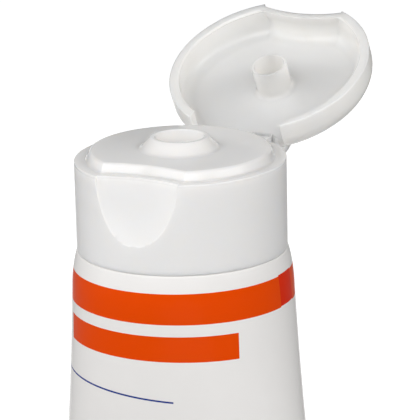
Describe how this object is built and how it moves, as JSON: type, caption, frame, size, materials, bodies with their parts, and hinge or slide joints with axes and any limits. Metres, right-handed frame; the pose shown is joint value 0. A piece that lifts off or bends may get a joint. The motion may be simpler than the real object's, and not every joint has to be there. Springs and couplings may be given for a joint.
{
  "type": "flip-top squeeze tube",
  "caption": "Soft squeeze tube with a flat welded tail and a press-fitted flip-top cap, lid open, showing the nozzle and its plug pin.",
  "frame": {"origin": "middle of the tube's flat tail edge", "axes": "+Z from the tail up through the nozzle, -Y out of the thumb scoop, +Y out of the hinge, X along the flat tail"},
  "size_m": [0.0628, 0.0751, 0.1338],
  "materials": {
    "printed_sleeve": "satin white sleeve with two printed orange bands, overlapping where the print meets itself",
    "shoulder_plastic": "moulded off-white polyethylene",
    "gel": "thick cream-white gel, standing in as a solid",
    "cap_plastic": "smooth white polypropylene, polished on the deck",
    "film_plastic": "thin white polypropylene, stretched smooth at the fold",
    "lid_plastic": "smooth white polypropylene"
  },
  "bodies": {
    "tube_body": {"tube_sleeve": "printed_sleeve", "tube_shoulder": "shoulder_plastic", "gel_fill": "gel", "cap_base": "cap_plastic", "hinge_film": "film_plastic"},
    "lid_body": {"cap_lid": "lid_plastic"}
  },
  "joints": [
    {"name": "lid_hinge", "type": "hinge", "parent": "tube_body", "child": "lid_body", "pos_m": [0, 0.0195, 0.11795], "axis": [-1, 0, 0], "range_deg": [-154.1, 25.9], "deforming": ["hinge_film"]}
  ]
}
